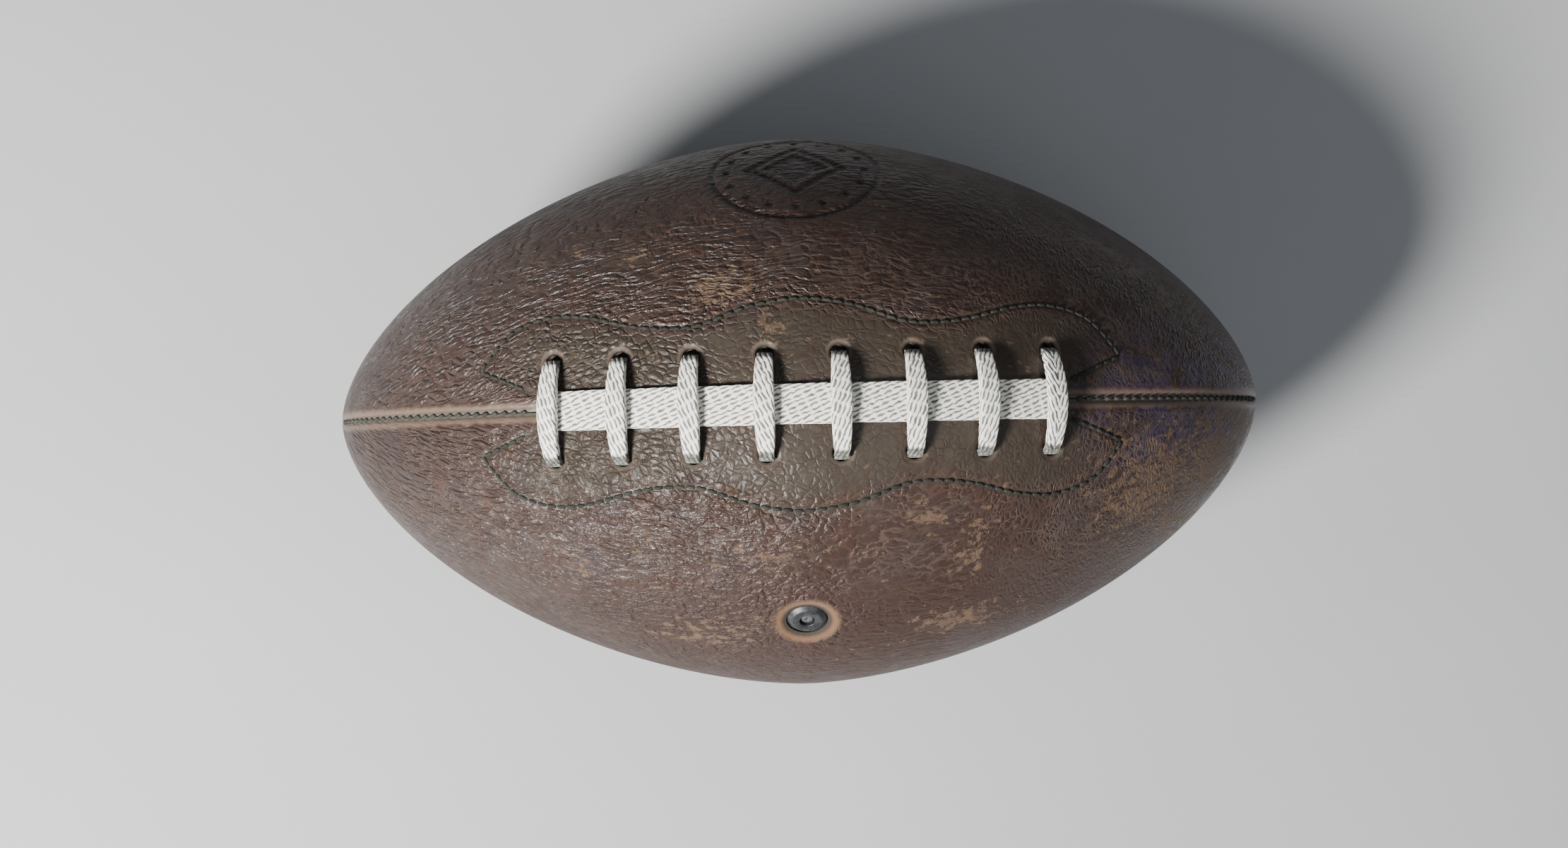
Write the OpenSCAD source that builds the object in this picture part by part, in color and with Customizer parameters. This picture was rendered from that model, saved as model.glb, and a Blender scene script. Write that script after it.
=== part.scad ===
// Laced, pointed leather ball of four sewn panels, with its linings, bladder, valve, facings and lacing.
// Frame: the origin is the ball's centre, +X runs along the ball to one tip, and +Z points out through
// the lacing. The valve is on the -Y side and the medallion on the +Y side. Millimetres throughout.

/* [Ball] */
// Length from tip to tip
ball_length = 285; // [270:1:290]
// Diameter round the middle
ball_diameter = 169; // [160:1:175]
// How soon the outline starts to fall away from the middle
outline_power = 1.73; // [1.6:0.01:1.9]
// How blunt the tips are
tip_power = 0.606; // [0.55:0.002:0.66]

/* [Cover] */
// Thickness of the leather panels
leather_t = 2.6; // [2:0.1:3]
// Thickness of the fabric linings
lining_t = 0.85; // [0.5:0.05:1]
// Thickness of the edges that are turned inward at a seam
flange_t = 2; // [1.5:0.1:2.5]
// Height of the turned edges below the leather
flange_h = 2.2; // [1.5:0.1:2.3]
// Width of the open groove along a seam
groove_w = 2; // [1.6:0.1:3]
// Depth of the groove along a seam
groove_depth = 1.2; // [1:0.1:1.4]

/* [Bladder and valve] */
// Thickness of the bladder's wall
bladder_t = 1.2; // [0.8:0.1:1.5]
// Angle of the valve from the lacing, towards -Y
valve_turn = 47; // [40:1:55]
// Diameter of the valve's rubber neck
neck_d = 11.5; // [10:0.1:12.5]
// Diameter of the needle hole in the plug
needle_d = 2; // [1.6:0.1:2.2]
// Diameter of the plug
plug_d = 4.1; // [3.6:0.1:4.4]
// Diameter of the patch behind the panel at the valve
patch_d = 30; // [24:1:34]

/* [Lacing] */
// Distance from one cross lace to the next, along the leather
lace_pitch = 20.6; // [19:0.1:21.5]
// Width of a cross lace
lace_w = 5.6; // [5:0.1:6]
// Thickness of a cross lace
lace_t = 2.7; // [2.2:0.1:2.7]
// Height of the middle of a cross lace above the leather
lace_crown = 5; // [4.9:0.1:5.4]
// Distance from the seam to the outer side of a cross lace's legs
lace_reach = 14.4; // [13.5:0.1:15]
// Diameter of the lace holes
lace_hole_d = 6; // [5.8:0.1:6.4]
// Width of the long lace under the cross laces
band_w = 11; // [10:0.1:12]
// Thickness of the long lace
band_t = 1.6; // [1.2:0.1:1.6]

/* [Stitching] */
// Distance from one seam stitch to the next
seam_pitch = 3.3; // [3:0.1:4]
// Diameter of the seam thread
seam_thread_d = 1.1; // [0.9:0.1:1.1]
// Distance from one facing stitch to the next
facing_pitch = 3.1; // [3:0.1:4]
// Diameter of the facing thread
facing_thread_d = 0.8; // [0.6:0.05:0.9]

/* [Medallion] */
// Diameter of the pressed medallion
medallion_d = 50; // [40:1:52]
// Angle of the medallion from the lacing, towards +Y
medallion_turn = 56; // [50:1:60]
// Depth of the pressed lines
medallion_depth = 0.45; // [0.3:0.05:0.6]

/* [Hidden] */
$fn = 48;

// Outline of the ball
half_length = ball_length / 2;
half_diameter = ball_diameter / 2;
outline_steps = 40;   // bands from tip to tip
ball_fn = 180;
beyond = 200;         // past the ball in any direction

// Layers, as depths below the leather's outer face
layer_gap = 0.15;
seam_gap = 0.3;       // from a panel's edge to the seam's middle plane
lining_depth = leather_t + layer_gap;
facing_depth = lining_depth + lining_t + layer_gap;
facing_t = 1.25;
inner_run_depth = facing_depth + facing_t + 0.3;
inner_run_t = 1.3;
guard_depth = inner_run_depth + inner_run_t + 0.3;
guard_t = 0.8;
bladder_depth = lining_depth + lining_t + layer_gap;
bladder_seam_drop = leather_t + flange_h + layer_gap - bladder_depth;
bladder_lacing_drop = guard_depth + guard_t + layer_gap - bladder_depth;

// Room that the bladder leaves for what stands inside the linings
seam_room = flange_t + seam_gap + 1.2;
lacing_room_x = 98;
lacing_room_y = 36;
guard_x = 86;
guard_y = 17;

// Lacing
lace_count = 8;                               // cross laces, each a node of its own
band_lift = 0.1;                              // below the long lace
lace_fall = 4.2;                              // of a cross lace from its crown to its ends
lace_clear = 0.3;                             // between a cross lace and the leather
lace_end_round = 1.4;                         // rounding where a cross lace turns down
leg_w = 4.2;
leg_t = 1.9;
leg_drop = 7.6;
lace_steps = 24;
hole_r = lace_hole_d / 2;
band_end = 71.5;
inner_run_w = 4.6;

// Valve, as heights from the leather's face along the valve's own axis
valve_top = -0.5;
valve_face_d = 8.6;
valve_bevel_h = 1;
plug_top = -1.5;
button_d = 3.4;
valve_bottom = -13;
valve_flange_top = -8.1;
valve_flange_t = 1.3;
valve_flange_d = 28;
valve_hole_r = neck_d / 2 + 0.25;
dimple_r = 8.6;
dimple_depth = 1.1;
plug_clear = 0.05;

// Seam stitches
seam_stitch_l = 2.6;
seam_stitch_depth = 0.62;
seam_end = 7;         // left without stitches at a tip, along the leather
lacing_seam_start = 81;

// Facing stitches: the outline of one facing as [along the ball, across it] on the leather
facing_half = [
    [76, 5.5], [91, 12], [90, 14.5], [82, 23.5], [71, 27.4], [60, 26.8],
    [48, 23.6], [38, 22.3], [28, 23], [14, 28], [0, 30],
];
facing_stitch_l = 2.4;
facing_stitch_lift = 0.46;
facing_margin = 2.5;  // of a facing outside its stitches, across the ball
facing_stretch = 1.02;
facing_inner_y = 2.6;
curve_steps = 12;     // points on each curved span of the outline

// Radius of the ball at x, for the surface that lies depth below the leather's face
function radius_at(x, depth = 0) =
    let (t = min(1, abs(x) / (half_length - depth)))
    (half_diameter - depth) * pow(max(0, 1 - pow(t, outline_power)), tip_power);

// Angle by which the surface leans towards the tip at x
function lean_at(x) =
    let (t = abs(x) / half_length)
    let (rest = 1 - pow(t, outline_power))
    let (slope = half_diameter / half_length * tip_power * outline_power)
    sign(x) * atan(slope * pow(rest, tip_power - 1) * pow(t, outline_power - 1));

// Distance along the leather from the middle of the ball, against x
function arc_table(steps) = [
    for (i = 0, s = 0, x = 0; i <= steps;
         i = i + 1,
         next = half_length * sin(90 * min(i, steps) / steps),
         s = s + norm([next - x, radius_at(next) - radius_at(x)]),
         x = next)
    [s, x]
];
ARCS = arc_table(180);
arc_to_tip = ARCS[len(ARCS) - 1][0];

// x of the point at distance s along the leather from the middle
function along(s) = sign(s) * lookup(abs(s), ARCS);

// Point of the leather at x, and at distance w across it from the lacing, raised by lift
function on_leather(x, w, lift = 0) =
    let (r = radius_at(x), turn = w / r * 180 / PI, lean = lean_at(x))
    [x + lift * sin(lean), (r + lift * cos(lean)) * sin(turn), (r + lift * cos(lean)) * cos(turn)];

// Distance along the lacing from cross lace 1 to 8, with the middle at 0
function lace_x(i) = along((i - (lace_count + 1) / 2) * lace_pitch);

// A curve through four points, from b to c, that leaves each point smoothly
function spline(a, b, c, d, t) =
    0.5 * (2 * b + (c - a) * t + (2 * a - 5 * b + 4 * c - d) * t * t
           + (3 * b - a - 3 * c + d) * t * t * t);

// The whole outline of one facing: from the seam, round one end, along the waves and back to the seam.
// The first span on each side is straight and ends in a sharp corner.
facing_curve = [for (i = [1 : len(facing_half) - 2])
    let (p = facing_half, last = len(p) - 1)
    let (before = i == 1 ? p[1] : p[i - 1])
    let (after = i + 1 == last ? [-p[last - 1].x, p[last - 1].y] : p[min(i + 2, last)])
    for (k = [0 : curve_steps - 1])
    spline(before, p[i], p[i + 1], after, k / curve_steps)];
facing_right = concat([facing_half[0]], facing_curve, [facing_half[len(facing_half) - 1]]);
facing_outline = concat(
    facing_right,
    [for (i = [len(facing_right) - 2 : -1 : 0]) [-facing_right[i].x, facing_right[i].y]]);

// Points at even distances along a path of 3D points
function path_lengths(path) = [
    for (i = 0, s = 0; i < len(path);
         i = i + 1, s = s + (i < len(path) ? norm(path[i] - path[i - 1]) : 0))
    s
];
function point_at(path, lengths, s) = [for (axis = [0 : 2])
    lookup(s, [for (i = [0 : len(path) - 1]) [lengths[i], path[i][axis]]])];

// The ball's outline turned about X, with its surface depth below the leather's face
module ball_form(depth = 0) {
    reach = half_length - depth;
    half_outline = [for (i = [0 : outline_steps])
        let (x = reach * sin(180 * i / outline_steps - 90))
        [i == 0 || i == outline_steps ? 0 : radius_at(x, depth), x]];
    rotate([0, 90, 0]) rotate_extrude($fn = ball_fn) polygon(half_outline);
}

// Carries its children to the leather at x, turned from the lacing towards +Y, with +Z outward
module on_ball(x, turn = 0) {
    rotate([-turn, 0, 0]) translate([x, 0, radius_at(x)]) rotate([0, lean_at(x), 0]) children();
}

// A quarter of space beside the seam planes: side is +1 or -1 in Y, level is +1 or -1 in Z
module quarter(side, level, gap) {
    translate([0, side * (gap + beyond / 2), level * (gap + beyond / 2)])
        cube([2 * beyond, beyond, beyond], center = true);
}

// Everything within half_w of the two seam planes
module beside_seams(half_w) {
    cube([2 * beyond, 2 * half_w, 2 * beyond], center = true);
    cube([2 * beyond, 2 * beyond, 2 * half_w], center = true);
}

// A box round the lacing
module lacing_box(half_x, half_y) {
    translate([-half_x, -half_y, 0]) cube([2 * half_x, 2 * half_y, beyond]);
}

// The lace holes of one side
module lace_holes(side) {
    for (i = [1 : lace_count])
        on_ball(lace_x(i)) translate([0, side * lace_reach, -20]) cylinder(h = 40, r = hole_r);
}

// A straight round hole through everything at the valve
module valve_hole(r) {
    on_ball(0, -valve_turn) translate([0, 0, -30]) cylinder(h = 60, r = r);
}

// The open groove along the seams
module seam_groove() {
    difference() {
        beside_seams(groove_w / 2);
        ball_form(groove_depth);
    }
}

// The medallion's pressed lines: a ring, a diamond in a diamond, and a circle of dots
module medallion_lines() {
    r = medallion_d / 2;
    line_w = 1.4;
    dot_count = 16;
    dot_d = 2.2;
    ring_out = r;
    dot_ring = r * 0.8;
    diamond = r * 0.6;
    difference() {
        on_ball(0, medallion_turn) translate([0, 0, -r]) linear_extrude(2 * r) {
            difference() {
                circle(ring_out);
                circle(ring_out - line_w);
            }
            for (i = [0 : dot_count - 1])
                rotate(360 * i / dot_count) translate([dot_ring, 0]) circle(d = dot_d);
            difference() {
                circle(diamond, $fn = 4);
                circle(diamond - 2 * line_w, $fn = 4);
            }
            circle(diamond - 4 * line_w, $fn = 4);
        }
        ball_form(medallion_depth);
    }
}

// One leather panel with its edges turned inward
module panel(side, level) {
    difference() {
        intersection() {
            ball_form();
            quarter(side, level, seam_gap);
        }
        seam_groove();
        difference() {
            ball_form(leather_t);
            beside_seams(seam_gap + flange_t);
        }
        ball_form(leather_t + flange_h);
    }
}

module panel_laced_valve_side() {
    color("#5d463f") difference() {
        panel(-1, 1);
        lace_holes(-1);
        valve_hole(valve_hole_r);
        on_ball(0, -valve_turn) translate([0, 0, -dimple_depth])
            cylinder(h = 2 * dimple_depth, r1 = valve_hole_r, r2 = 2 * dimple_r - valve_hole_r);
    }
}

module panel_laced_medallion_side() {
    color("#543f39") difference() {
        panel(1, 1);
        lace_holes(1);
        medallion_lines();
    }
}

module panel_lower_valve_side() {
    color("#5a443d") panel(-1, -1);
}

module panel_lower_medallion_side() {
    color("#523d37") panel(1, -1);
}

// One fabric lining, which stops short of the turned edges
module lining(side, level) {
    difference() {
        intersection() {
            ball_form(lining_depth);
            quarter(side, level, seam_gap + flange_t + layer_gap);
        }
        ball_form(lining_depth + lining_t);
    }
}

module lining_laced_valve_side() {
    color("#b9ad97") difference() {
        lining(-1, 1);
        lace_holes(-1);
        valve_hole(valve_hole_r);
    }
}

module lining_laced_medallion_side() {
    color("#b9ad97") difference() {
        lining(1, 1);
        lace_holes(1);
    }
}

module lining_lower_valve_side() {
    color("#b9ad97") lining(-1, -1);
}

module lining_lower_medallion_side() {
    color("#b9ad97") lining(1, -1);
}

// The inflated bladder's form: it fills the cover, and gives way round the turned edges and the lacing
module bladder_form(depth, wall) {
    difference() {
        ball_form(depth);
        beside_seams(seam_room + wall);
        valve_hole(patch_d / 2 + 0.8 + wall);
        lacing_box(lacing_room_x + wall, lacing_room_y + wall);
    }
    difference() {
        ball_form(depth + bladder_seam_drop);
        lacing_box(lacing_room_x + wall, lacing_room_y + wall);
    }
    ball_form(depth + bladder_lacing_drop);
}

module bladder() {
    color("#3a3a3c") difference() {
        bladder_form(bladder_depth, 0);
        bladder_form(bladder_depth + bladder_t, bladder_t);
        valve_hole(valve_hole_r);
    }
}

// Rubber body of the valve: bevelled mouth, neck, and the flange that is bonded inside the bladder
module valve_housing() {
    bore_r = plug_d / 2 + plug_clear;
    tube_r = bore_r + 2.2;
    profile = [
        [bore_r, valve_top], [valve_face_d / 2, valve_top], [neck_d / 2, valve_top - valve_bevel_h],
        [neck_d / 2, valve_flange_top], [valve_flange_d / 2, valve_flange_top - 0.4],
        [valve_flange_d / 2, valve_flange_top - valve_flange_t],
        [tube_r, valve_flange_top - valve_flange_t - 0.6], [tube_r, valve_bottom],
        [bore_r, valve_bottom],
    ];
    color("#2b2e30") on_ball(0, -valve_turn) rotate_extrude($fn = 96) polygon(profile);
}

// Self-closing plug with the needle hole
module valve_plug() {
    profile = [
        [needle_d / 2, plug_top], [button_d / 2, plug_top], [button_d / 2, plug_top - 0.8],
        [plug_d / 2, plug_top - 1], [plug_d / 2, valve_bottom], [needle_d / 2, valve_bottom],
    ];
    color("#44494c") on_ball(0, -valve_turn) rotate_extrude($fn = 96) polygon(profile);
}

// Disc between lining and bladder that backs the panel round the valve
module valve_patch() {
    color("#8d8271") difference() {
        intersection() {
            ball_form(facing_depth);
            on_ball(0, -valve_turn) translate([0, 0, -20]) cylinder(h = 30, d = patch_d);
        }
        ball_form(facing_depth + 1);
        valve_hole(valve_hole_r);
    }
}

// Strip sewn behind a laced panel, which the lace holes go through
module lace_facing(side) {
    plan = [for (p = facing_outline)
        let (q = on_leather(p.x * facing_stretch, p.y + facing_margin))
        [q.x, side * q.y]];
    inner = [
        [-facing_outline[0].x, side * facing_inner_y],
        [facing_outline[0].x, side * facing_inner_y],
    ];
    difference() {
        intersection() {
            ball_form(facing_depth);
            linear_extrude(beyond) polygon(concat(plan, inner));
        }
        ball_form(facing_depth + facing_t);
        lace_holes(side);
    }
}

module lace_facing_valve_side() {
    color("#6f655a") lace_facing(-1);
}

module lace_facing_medallion_side() {
    color("#6f655a") lace_facing(1);
}

// Tongue between the lacing and the bladder
module lace_guard() {
    color("#9a8f7d") difference() {
        intersection() {
            ball_form(guard_depth);
            lacing_box(guard_x, guard_y);
        }
        ball_form(guard_depth + guard_t);
    }
}

// Long flat lace along the seam, under the cross laces
module lace_band() {
    color("#efece0") difference() {
        intersection() {
            ball_form(-band_lift - band_t);
            lacing_box(band_end, band_w / 2);
        }
        ball_form(-band_lift);
    }
}

// One cross lace: a flat arch over the long lace, with a leg down each lace hole
module cross_lace(i) {
    x = lace_x(i);
    bend = radius_at(x) / cos(lean_at(x));
    steps = [-lace_steps : lace_steps];
    top = [for (k = steps)
        let (t = k / lace_steps)
        [lace_reach * t, lace_crown - lace_fall * t * t - lace_end_round * (1 - sqrt(1 - pow(t, 16)))]];
    under = [for (k = steps)
        let (p = top[lace_steps - k])
        [p.x, max(lace_crown - lace_t - lace_fall * pow(p.x / lace_reach, 2),
                  lace_clear - p.x * p.x / 2 / bend)]];
    leg_top = top[0].y + 0.4;
    color("#f4f2e8") on_ball(x) rotate([90, 0, 90]) {
        linear_extrude(lace_w, center = true) polygon(concat(top, under));
        linear_extrude(leg_w, center = true)
            for (side = [-1, 1])
                translate([side * (lace_reach - leg_t / 2), (leg_top - leg_drop) / 2])
                    square([leg_t, leg_top + leg_drop], center = true);
    }
}

module cross_lace_1() { cross_lace(1); }
module cross_lace_2() { cross_lace(2); }
module cross_lace_3() { cross_lace(3); }
module cross_lace_4() { cross_lace(4); }
module cross_lace_5() { cross_lace(5); }
module cross_lace_6() { cross_lace(6); }
module cross_lace_7() { cross_lace(7); }
module cross_lace_8() { cross_lace(8); }

// Runs of the lace behind the facings, from one cross lace's leg to the next, on alternate sides
module lace_inner_runs() {
    run_y = lace_reach - leg_t / 2;
    leg_clear = leg_w / 2 + 1.2;
    color("#e4e1d4") difference() {
        intersection() {
            ball_form(inner_run_depth);
            for (i = [1 : lace_count - 1]) {
                from = lace_x(i) + leg_clear;
                to = lace_x(i + 1) - leg_clear;
                side = i % 2 == 0 ? -1 : 1;
                translate([from, side * run_y - inner_run_w / 2, 0])
                    cube([to - from, inner_run_w, beyond]);
            }
        }
        ball_form(inner_run_depth + inner_run_t);
    }
}

// Stitches in the groove of a seam, from one distance along the leather to another
module seam_stitches(turn, from, to) {
    count = floor((to - from) / seam_pitch);
    first = (from + to - count * seam_pitch) / 2;
    for (i = [0 : count]) {
        x = along(first + i * seam_pitch);
        on_ball(x, turn) translate([0, 0, -seam_stitch_depth]) rotate([0, 90, 0])
            cylinder(h = seam_stitch_l, d = seam_thread_d, center = true, $fn = 24);
    }
}

module seam_thread_top_left() {
    color("#4b4f49") seam_stitches(0, seam_end - arc_to_tip, -lacing_seam_start);
}

module seam_thread_top_right() {
    color("#4b4f49") seam_stitches(0, lacing_seam_start, arc_to_tip - seam_end);
}

module seam_thread_bottom() {
    color("#4b4f49") seam_stitches(180, seam_end - arc_to_tip, arc_to_tip - seam_end);
}

module seam_thread_valve_side() {
    color("#4b4f49") seam_stitches(-90, seam_end - arc_to_tip, arc_to_tip - seam_end);
}

module seam_thread_medallion_side() {
    color("#4b4f49") seam_stitches(90, seam_end - arc_to_tip, arc_to_tip - seam_end);
}

// A round bar from one point to another
module bar(from, to, d) {
    v = to - from;
    translate(from) rotate([0, acos(v.z / norm(v)), atan2(v.y, v.x)])
        cylinder(h = norm(v), d = d, $fn = 16);
}

// Stitches along the outline of a facing
module facing_stitches(side) {
    path = [for (p = facing_outline) on_leather(p.x, side * p.y, facing_stitch_lift)];
    lengths = path_lengths(path);
    count = floor(lengths[len(path) - 1] / facing_pitch);
    for (i = [0 : count - 1]) {
        s = (i + 0.5) * facing_pitch;
        bar(point_at(path, lengths, s - facing_stitch_l / 2),
            point_at(path, lengths, s + facing_stitch_l / 2), facing_thread_d);
    }
}

module facing_stitches_valve_side() {
    color("#55584f") facing_stitches(-1);
}

module facing_stitches_medallion_side() {
    color("#55584f") facing_stitches(1);
}

panel_laced_valve_side();
panel_laced_medallion_side();
panel_lower_valve_side();
panel_lower_medallion_side();
lining_laced_valve_side();
lining_laced_medallion_side();
lining_lower_valve_side();
lining_lower_medallion_side();
bladder();
valve_housing();
valve_plug();
valve_patch();
lace_facing_valve_side();
lace_facing_medallion_side();
lace_guard();
lace_band();
lace_inner_runs();
cross_lace_1();
cross_lace_2();
cross_lace_3();
cross_lace_4();
cross_lace_5();
cross_lace_6();
cross_lace_7();
cross_lace_8();
seam_thread_top_left();
seam_thread_top_right();
seam_thread_bottom();
seam_thread_valve_side();
seam_thread_medallion_side();
facing_stitches_valve_side();
facing_stitches_medallion_side();
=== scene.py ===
"""Looks of a laced leather football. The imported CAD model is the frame: +X runs along the ball, +Z comes out
through the lacing, the valve is on the -Y side and the medallion on the +Y side. Everything is in metres."""
import math

import bmesh
import bpy
import numpy as np
from mathutils import Matrix, Vector


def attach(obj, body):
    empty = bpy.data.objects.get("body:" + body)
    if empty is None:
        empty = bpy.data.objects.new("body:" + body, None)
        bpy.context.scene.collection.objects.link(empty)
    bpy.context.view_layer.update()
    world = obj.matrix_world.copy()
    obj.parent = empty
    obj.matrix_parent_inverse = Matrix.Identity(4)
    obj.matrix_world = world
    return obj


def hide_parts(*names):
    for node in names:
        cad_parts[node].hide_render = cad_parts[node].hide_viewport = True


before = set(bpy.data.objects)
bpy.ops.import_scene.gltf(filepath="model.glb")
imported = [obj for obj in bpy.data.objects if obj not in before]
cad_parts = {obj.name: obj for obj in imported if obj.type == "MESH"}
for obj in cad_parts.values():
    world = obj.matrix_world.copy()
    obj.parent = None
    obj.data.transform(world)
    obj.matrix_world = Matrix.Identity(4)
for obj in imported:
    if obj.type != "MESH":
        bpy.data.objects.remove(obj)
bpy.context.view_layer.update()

MM = 0.001

# ---- the ball's form, as in the CAD model

HALF_LENGTH = 142.5 * MM
HALF_WIDTH = 84.5 * MM
OUTLINE_POWER = 1.73
TIP_POWER = 0.606
LEATHER = 2.6 * MM
EDGE_DEPTH = 4.8 * MM
EDGE_TURN_IN = 2.2 * MM

LACES = 8
LACE_PITCH = 20.6 * MM
LACE_REACH = 14.4 * MM
LACE_HOLE_R = 2.5 * MM
LACE_HOLE_AWAY = {-1: 13.75 * MM, 1: 13.9 * MM}  # from the seam, on the valve side and the medallion side

VALVE_TURN = math.radians(-47)
VALVE_HOLE_R = 6.0 * MM

MEDALLION_TURN = math.radians(56)
MEDALLION_R = 25 * MM
MEDALLION_DEPTH = 0.45 * MM
MEDALLION_DOTS = 16

# Half of a facing's stitched outline, as (distance from the middle, distance from the seam) on the leather
FACING_HALF = [(76, 5.5), (91, 12), (90, 14.5), (82, 23.5), (71, 27.4), (60, 26.8), (48, 23.6),
               (38, 22.3), (28, 23), (14, 28), (0, 30)]
FACING_PITCH = 3.1 * MM
SEAM_PITCH = 3.3 * MM
SEAM_END = 7 * MM
LACING_SEAM_START = 81 * MM
SEAM_SHRINK = 9 * MM  # a panel narrower than this from its seam to its middle has its edge's shape made smaller


def radius_at(x):
    """Radius of the ball at a distance from its middle."""
    t = np.clip(np.abs(x) / HALF_LENGTH, 0, 1)
    return HALF_WIDTH * (1 - t ** OUTLINE_POWER) ** TIP_POWER


def lean_at(x):
    """Angle by which the leather leans towards a tip, in radians."""
    t = np.clip(np.abs(x) / HALF_LENGTH, 0, 0.9999)
    fall = HALF_WIDTH / HALF_LENGTH * TIP_POWER * OUTLINE_POWER
    return np.sign(x) * np.arctan(fall * (1 - t ** OUTLINE_POWER) ** (TIP_POWER - 1) * t ** (OUTLINE_POWER - 1))


def lengths(path):
    """Distance along a path to each of its points."""
    return np.concatenate([[0], np.cumsum(np.linalg.norm(np.diff(path, axis=0), axis=1))])


TABLE_X = HALF_LENGTH * np.sin(np.linspace(0, 1, 6001) * math.pi / 2)
TABLE_R = radius_at(TABLE_X)
TABLE_ARC = lengths(np.stack([TABLE_X, TABLE_R], 1))
ARC_TO_TIP = TABLE_ARC[-1]


def along(arc):
    """x at a distance along the leather from the middle."""
    return np.sign(arc) * np.interp(np.abs(arc), TABLE_ARC, TABLE_X)


def arc_of(points):
    """Distance along the leather from the middle, for points on or near it. It is read from x, and from the
    radius near the tips."""
    x, radius = np.abs(points[:, 0]), np.hypot(points[:, 1], points[:, 2])
    by_x = np.interp(x, TABLE_X, TABLE_ARC)
    by_radius = np.interp(radius, TABLE_R[::-1], TABLE_ARC[::-1])
    near_tip = smooth_step(x, 0.93 * HALF_LENGTH, 0.98 * HALF_LENGTH)
    return np.sign(points[:, 0]) * (by_x + (by_radius - by_x) * near_tip)


def on_leather(x, turn, lift=0.0):
    """Points on the leather at x and at an angle from the lacing, lifted off it along its normal."""
    x, turn, lift = np.broadcast_arrays(np.asarray(x, float), turn, lift)
    lean = lean_at(x)
    out = radius_at(x) + lift * np.cos(lean)
    return np.stack([x + lift * np.sin(lean), out * np.sin(turn), out * np.cos(turn)], axis=-1)


def seat(x, turn):
    """Matrix of a place on the leather: local X runs along the ball, Y round it and Z out of it."""
    lean = float(lean_at(x))
    matrix = Matrix.Rotation(-turn, 4, "X") @ Matrix.Translation((float(x), 0, float(radius_at(x))))
    return matrix @ Matrix.Rotation(lean, 4, "Y")


def smooth_step(value, low, high):
    t = np.clip((value - low) / (high - low), 0, 1)
    return t * t * (3 - 2 * t)


def lace_x(number):
    return float(along((number - (LACES + 1) / 2) * LACE_PITCH))


def facing_path(side):
    """The stitched outline of one facing as densely spaced points on the leather."""
    curve = FACING_HALF[1:] + [(-x, y) for x, y in FACING_HALF[-2:0:-1]]
    guides = [curve[0]] + curve + [curve[-1]]
    plan = [FACING_HALF[0]]
    for a, b, c, d in zip(guides, guides[1:], guides[2:], guides[3:]):
        for t in np.arange(0, 1, 1 / 12):
            plan.append(tuple(
                0.5 * (2 * q + (r - p) * t + (2 * p - 5 * q + 4 * r - s) * t * t + (3 * q - p - 3 * r + s) * t ** 3)
                for p, q, r, s in zip(a, b, c, d)))
    plan += [curve[-1], (-FACING_HALF[0][0], FACING_HALF[0][1])]
    plan = np.array(plan) * MM
    steps = lengths(plan)
    even = np.linspace(0, steps[-1], int(steps[-1] / (0.4 * MM)))
    x, across = np.interp(even, steps, plan[:, 0]), np.interp(even, steps, plan[:, 1])
    return x, side * across / radius_at(x)


# ---- mesh tools

def new_object(name, data):
    obj = bpy.data.objects.new(name, data)
    bpy.context.scene.collection.objects.link(obj)
    return obj


def mesh_of(name, bm):
    """A mesh from a bmesh, which is freed."""
    mesh = bpy.data.meshes.new(name)
    bm.to_mesh(mesh)
    bm.free()
    return mesh


def mesh_object(name, points, faces):
    """A smooth closed mesh with its faces turned outwards."""
    mesh = bpy.data.meshes.new(name)
    points = np.asarray(points, np.float32)
    mesh.vertices.add(len(points))
    mesh.vertices.foreach_set("co", points.ravel())
    sizes = np.array([len(f) for f in faces], np.int32)
    loops = np.concatenate([np.asarray(f, np.int32) for f in faces])
    mesh.loops.add(len(loops))
    mesh.loops.foreach_set("vertex_index", loops)
    mesh.polygons.add(len(sizes))
    mesh.polygons.foreach_set("loop_start", np.concatenate([[0], np.cumsum(sizes)[:-1]]).astype(np.int32))
    mesh.polygons.foreach_set("use_smooth", np.full(len(sizes), True))
    mesh.update(calc_edges=True)
    mesh.validate()
    bm = bmesh.new()
    bm.from_mesh(mesh)
    bmesh.ops.recalc_face_normals(bm, faces=bm.faces)
    bm.to_mesh(mesh)
    bm.free()
    return new_object(name, mesh)


def tube_faces(stations, around):
    """Faces of a closed tube whose points run round each station in turn. Fans to two last points close its ends."""
    a = np.arange(stations - 1)[:, None] * around
    b = np.arange(around)[None, :]
    c = (np.arange(around)[None, :] + 1) % around
    quads = np.stack([a + b, a + c, a + around + c, a + around + b], axis=-1).reshape(-1, 4)
    first, last = stations * around, stations * around + 1
    faces = list(quads)
    faces += [(first, (i + 1) % around, i) for i in range(around)]
    end = (stations - 1) * around
    faces += [(last, end + i, end + (i + 1) % around) for i in range(around)]
    return faces


def tube(name, rings):
    """A closed tube through rings of points: an array of stations x around x 3."""
    stations, around = rings.shape[:2]
    ends = [rings[0].mean(axis=0), rings[-1].mean(axis=0)]
    return mesh_object(name, np.concatenate([rings.reshape(-1, 3), ends]), tube_faces(stations, around))


def set_values(obj, **values):
    """Stores a number or a vector on each vertex, for the materials."""
    for name, data in values.items():
        data = np.asarray(data, np.float32)
        kind, key = ("FLOAT_VECTOR", "vector") if data.ndim == 2 else ("FLOAT", "value")
        obj.data.attributes.new(name, kind, "POINT").data.foreach_set(key, data.ravel())


def points_of(obj):
    points = np.empty(len(obj.data.vertices) * 3, np.float32)
    obj.data.vertices.foreach_get("co", points)
    return points.reshape(-1, 3).astype(float)


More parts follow.
